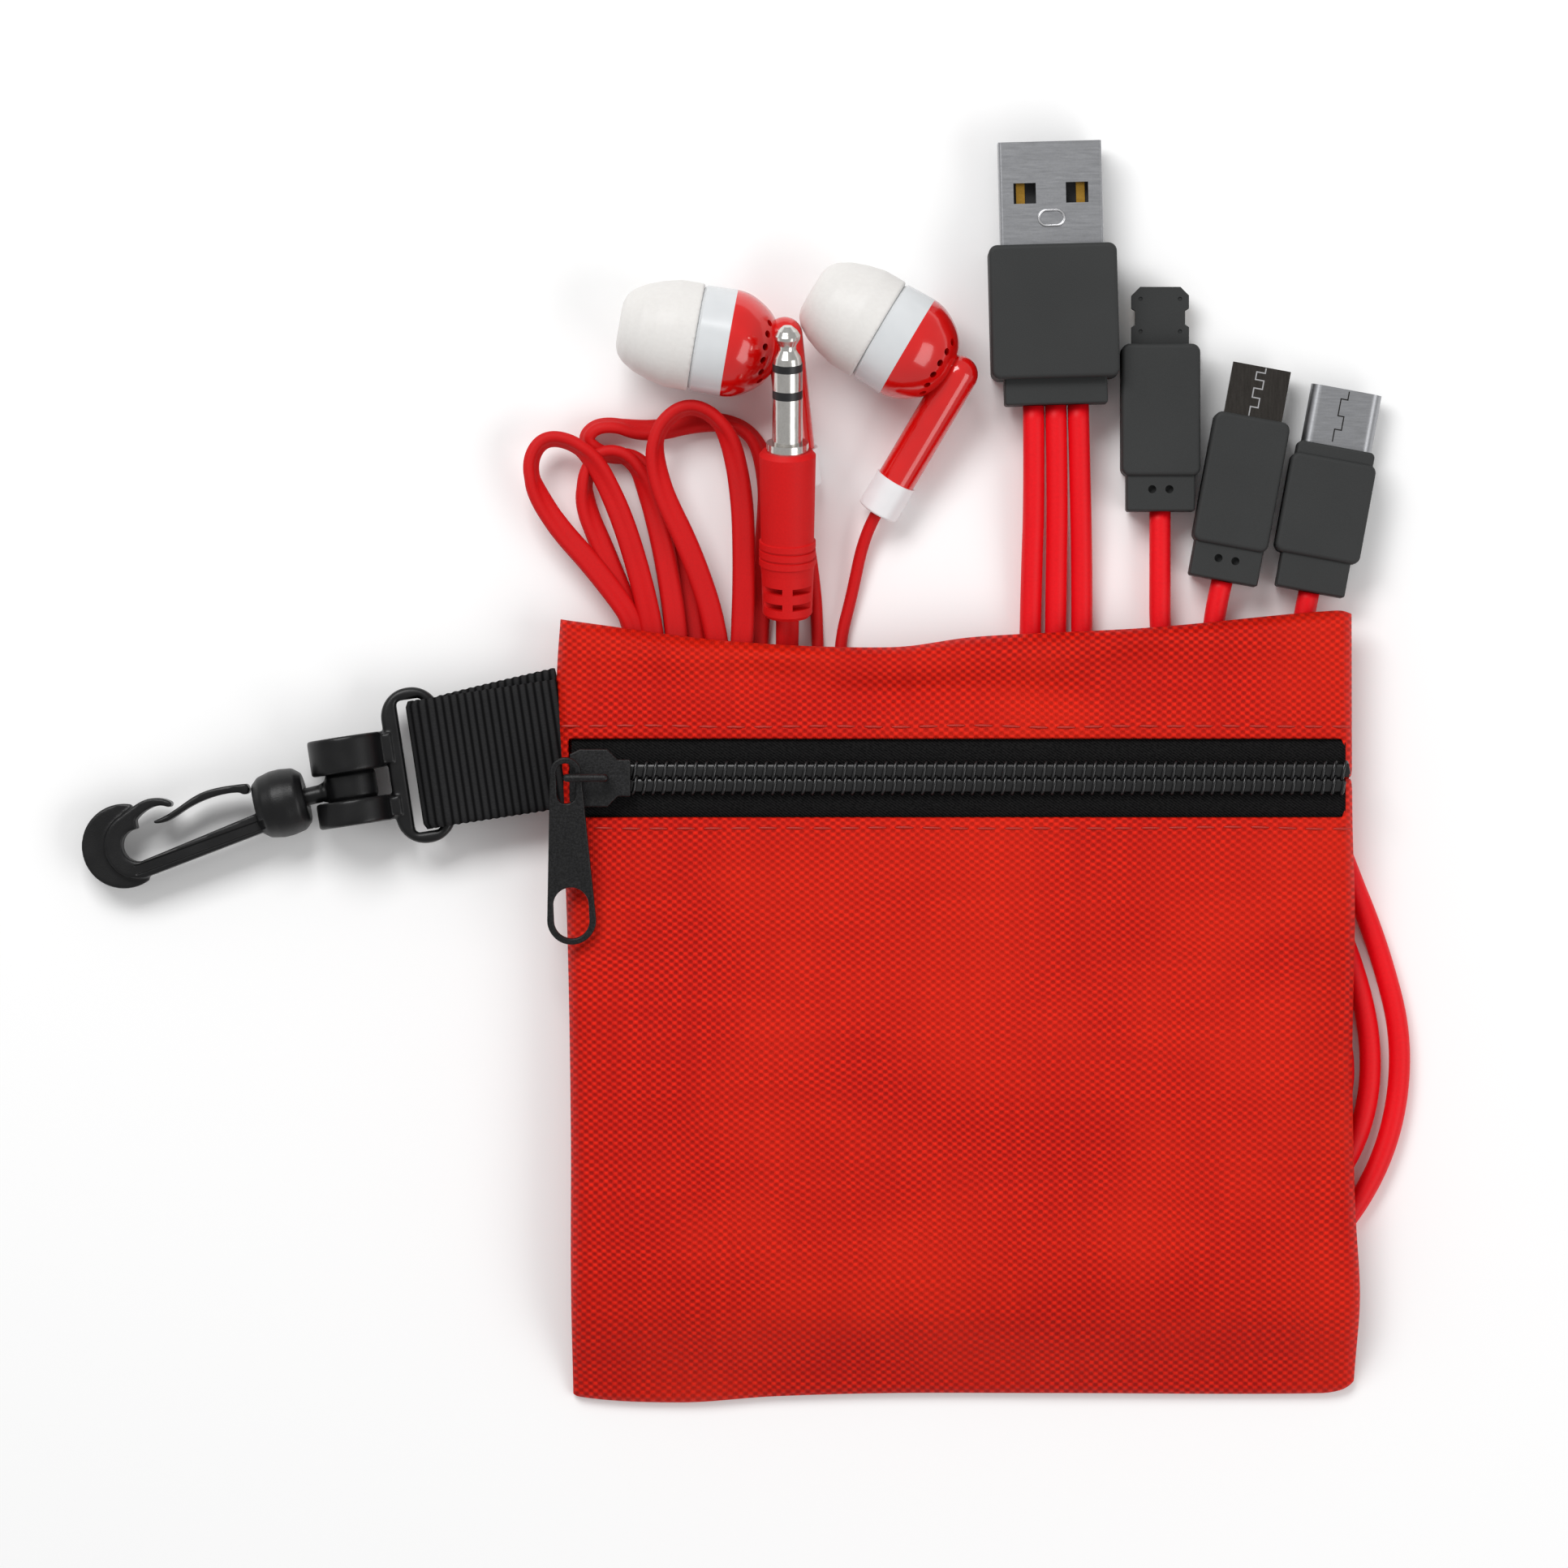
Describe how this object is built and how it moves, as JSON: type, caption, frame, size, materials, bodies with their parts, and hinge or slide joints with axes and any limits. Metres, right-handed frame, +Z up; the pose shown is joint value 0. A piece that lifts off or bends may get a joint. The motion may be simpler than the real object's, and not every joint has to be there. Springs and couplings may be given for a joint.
{
  "type": "zip pouch with earphones and charging lead",
  "caption": "Flat zip pouch with a webbing strap and swivel snap hook, lying on in-ear earphones with a jack and a short charging lead that splits to small plugs.",
  "frame": {"origin": "middle of the kit without its loose leads and their plugs, on the table that it lies on", "axes": "+X along the zip, from the strap to the far edge; +Y from the pouch towards the plugs; +Z up from the table, out of the pouch's front"},
  "size_m": [0.1553, 0.1466, 0.0156],
  "materials": {
    "pouch_fabric": "woven",
    "zip_tape": "woven",
    "zip_coil": "satin",
    "zip_metal": "textured",
    "webbing": "ribbed",
    "clip_plastic": "satin",
    "ear_silicone": "satin",
    "bud_ring": "gloss",
    "bud_red": "gloss",
    "collar_white": "satin",
    "mesh_steel": "woven",
    "magnet_steel": "plated",
    "diaphragm_film": "film",
    "jack_metal": "plated",
    "jack_insulator": "satin",
    "jack_grip": "matte",
    "ear_lead": "satin",
    "charge_lead": "satin",
    "plug_grip": "matte",
    "plug_steel": "brushed",
    "plug_nickel": "plated",
    "contact_gold": "plated",
    "plug_tongue": "satin"
  },
  "bodies": {
    "root": {"pouch_back_panel": "pouch_fabric", "pouch_front_lower_panel": "pouch_fabric", "pouch_front_upper_panel": "pouch_fabric", "zipper_tape_upper": "zip_tape", "zipper_coil_upper": "zip_coil", "zipper_tape_lower": "zip_tape", "zipper_coil_lower": "zip_coil", "webbing_strap": "webbing", "rear_shell_left": "bud_red", "stem_collar_left": "collar_white", "nozzle_housing_left": "bud_ring", "nozzle_mesh_left": "mesh_steel", "driver_magnet_left": "magnet_steel", "driver_diaphragm_left": "diaphragm_film", "rear_shell_right": "bud_red", "stem_collar_right": "collar_white", "nozzle_housing_right": "bud_ring", "nozzle_mesh_right": "mesh_steel", "driver_magnet_right": "magnet_steel", "driver_diaphragm_right": "diaphragm_film", "jack_sleeve_contact": "jack_metal", "jack_ring_contact": "jack_metal", "jack_insulator_rings": "jack_insulator", "jack_tip_contact": "jack_metal", "jack_overmold": "jack_grip", "earphone_main_hank": "ear_lead", "earphone_branch_hank": "ear_lead", "y_splitter": "ear_lead", "charge_lead_c": "charge_lead", "charge_lead_micro": "charge_lead", "charge_lead_blade": "charge_lead", "wide_plug_body": "plug_grip", "wide_plug_shell": "plug_steel", "wide_plug_tongue": "plug_tongue", "wide_plug_contacts": "contact_gold", "blade_plug_body": "plug_grip", "blade_plug_blade": "plug_grip", "blade_plug_contacts": "contact_gold", "micro_plug_body": "plug_grip", "micro_plug_shell": "plug_nickel", "micro_plug_tongue": "plug_tongue", "c_plug_body": "plug_grip", "c_plug_shell": "plug_steel", "c_plug_tongue": "plug_tongue", "earphone_lead_left": "ear_lead", "earphone_lead_right": "ear_lead"},
    "zip_slider": {"zipper_slider_body": "zip_metal", "zipper_slider_bail": "zip_metal"},
    "zip_pull": {"zipper_pull_tab": "zip_metal"},
    "clip_base": {"clip_base_frame": "clip_plastic"},
    "swivel": {"swivel_post": "clip_plastic"},
    "hook": {"hook_body": "clip_plastic"},
    "gate": {"hook_gate": "clip_plastic"},
    "ear_tip_left": {"ear_tip_left": "ear_silicone"},
    "ear_tip_right": {"ear_tip_right": "ear_silicone"}
  },
  "joints": [
    {"name": "slider_travel", "type": "slide", "parent": "root", "child": "zip_slider", "axis": [1, 0, 0], "range_m": [0, 0.082]},
    {"name": "pull_flip", "type": "hinge", "parent": "zip_slider", "child": "zip_pull", "pos_m": [-0.01762, -0.0009, 0.0117], "axis": [-1, 0, 0], "range_deg": [0, 190]},
    {"name": "clip_flip", "type": "hinge", "parent": "root", "child": "clip_base", "pos_m": [-0.03245, 0.00098, 0.0044], "axis": [-0.1513, 0.9885, 0], "range_deg": [-75, 75]},
    {"name": "post_turn", "type": "hinge", "parent": "clip_base", "child": "swivel", "pos_m": [-0.04275, -0.00181, 0.0044], "axis": [-0.1513, 0.9885, 0], "range_deg": [-75, 75]},
    {"name": "hook_turn", "type": "hinge", "parent": "swivel", "child": "hook", "pos_m": [-0.05089, -0.00384, 0.00405], "axis": [-0.9694, -0.2418, -0.0415], "continuous": true},
    {"name": "gate_press", "type": "hinge", "parent": "hook", "child": "gate", "pos_m": [-0.05515, -0.00222, 0.00389], "axis": [-0.0412, -0.0063, 0.9991], "range_deg": [0, 15], "stiffness_Nm_per_rad": 0.05, "springref_deg": -2.86},
    {"name": "ear_tip_left_turn", "type": "hinge", "parent": "root", "child": "ear_tip_left", "pos_m": [0.00128, 0.0497, 0.0063], "axis": [-0.9848, 0.1736, 0], "continuous": true},
    {"name": "ear_tip_right_turn", "type": "hinge", "parent": "root", "child": "ear_tip_right", "pos_m": [0.02203, 0.0493, 0.0063], "axis": [-0.8599, 0.5105, 0], "continuous": true}
  ]
}
